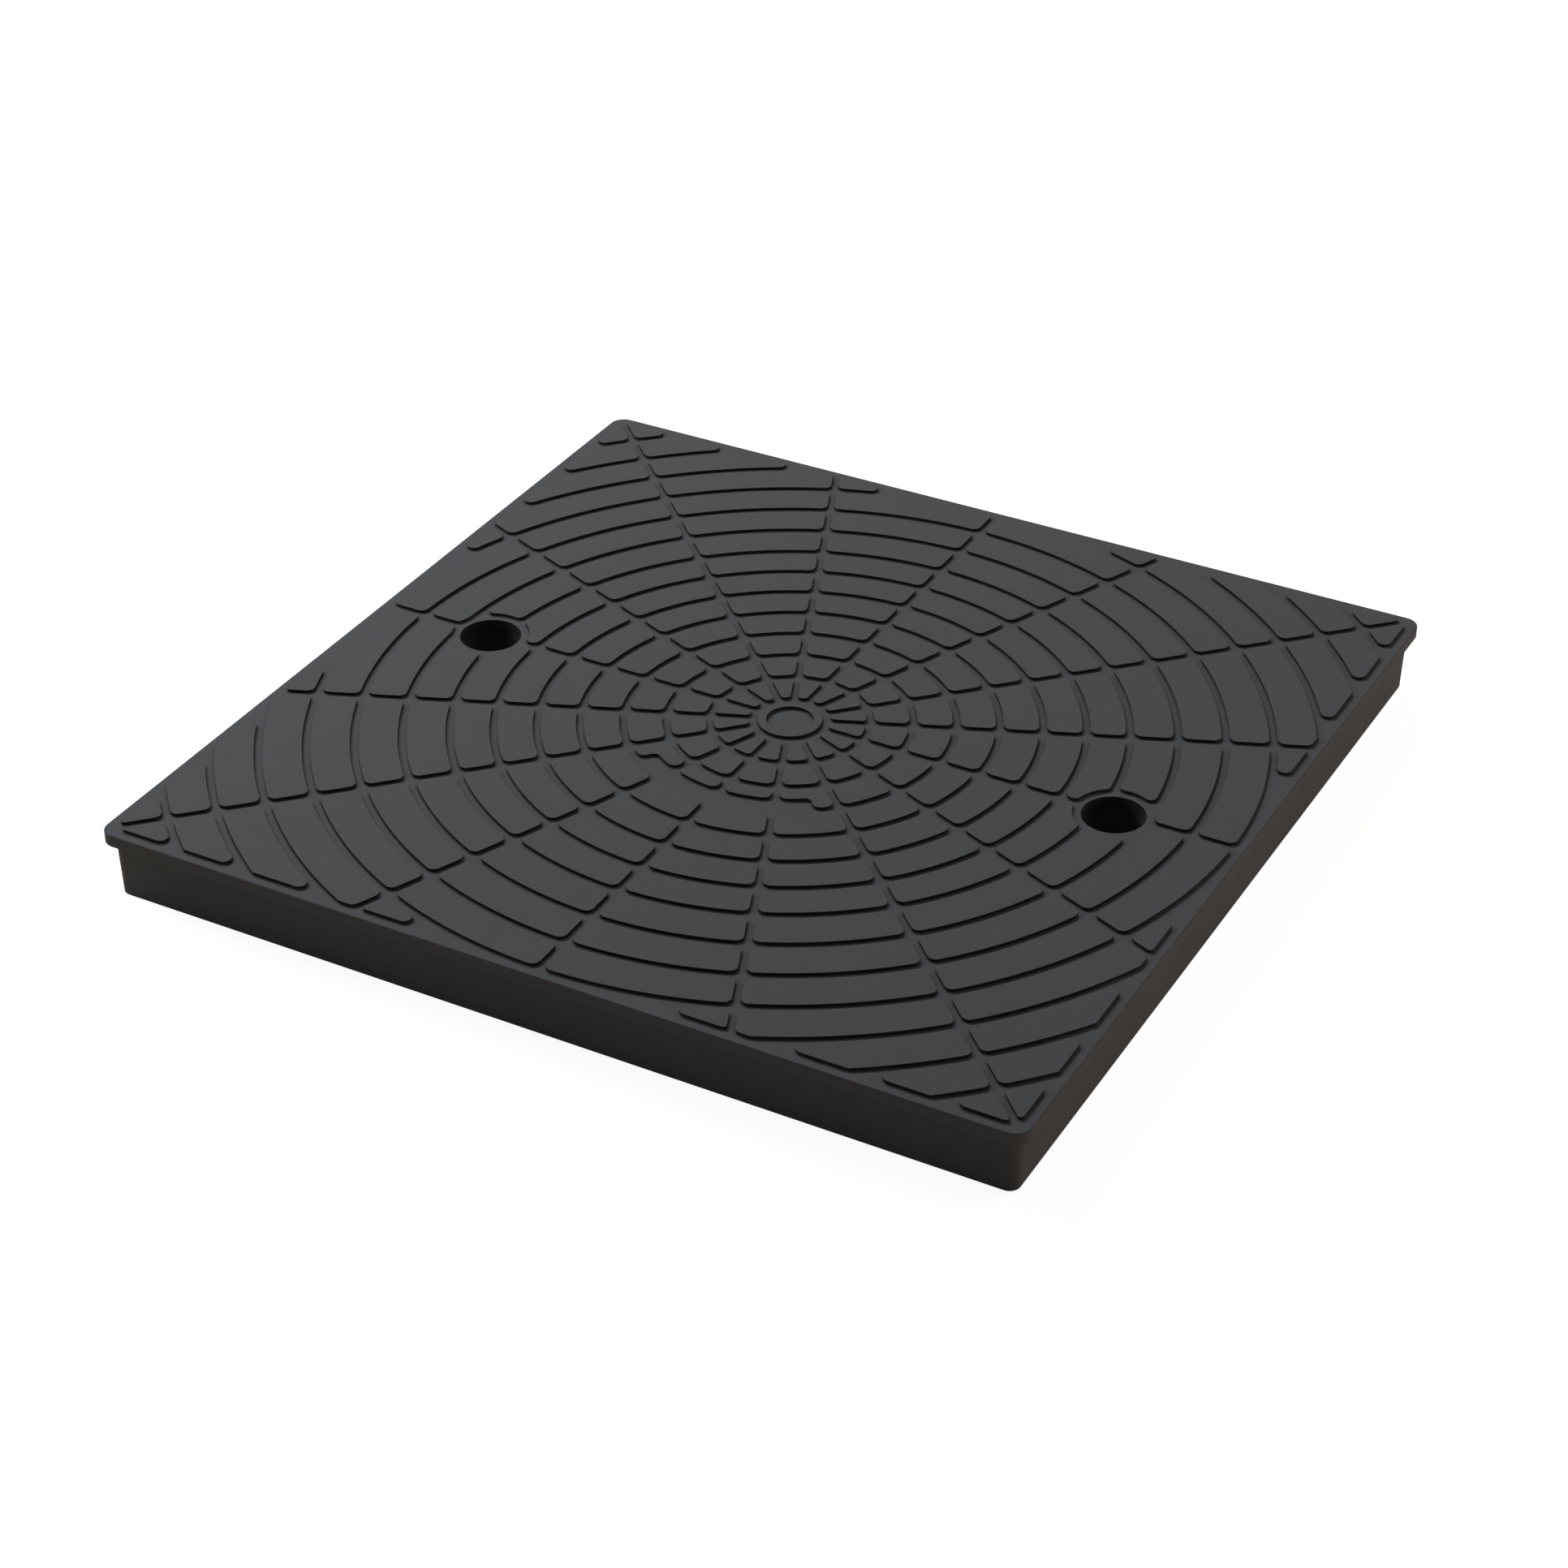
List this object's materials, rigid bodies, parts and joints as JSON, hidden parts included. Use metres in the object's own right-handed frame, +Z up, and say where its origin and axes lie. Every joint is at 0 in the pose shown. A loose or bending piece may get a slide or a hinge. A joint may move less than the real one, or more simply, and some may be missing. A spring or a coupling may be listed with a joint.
{
  "type": "cable pit cover",
  "caption": "Square moulded composite cover for a cable pit: thin lip, tapered skirt, ribbed underside, round lifting holes and a raised pattern of arc tiles.",
  "frame": {"origin": "centre of the plane on which the bottom edge of the skirt stands", "axes": "+Z up, out of the pit; X and Y along the sides of the square; the lifting holes lie on the Y axis"},
  "size_m": [0.668, 0.668, 0.0521],
  "materials": {
    "composite": "matte"
  },
  "bodies": {
    "root": {"cover": "composite"}
  },
  "joints": []
}
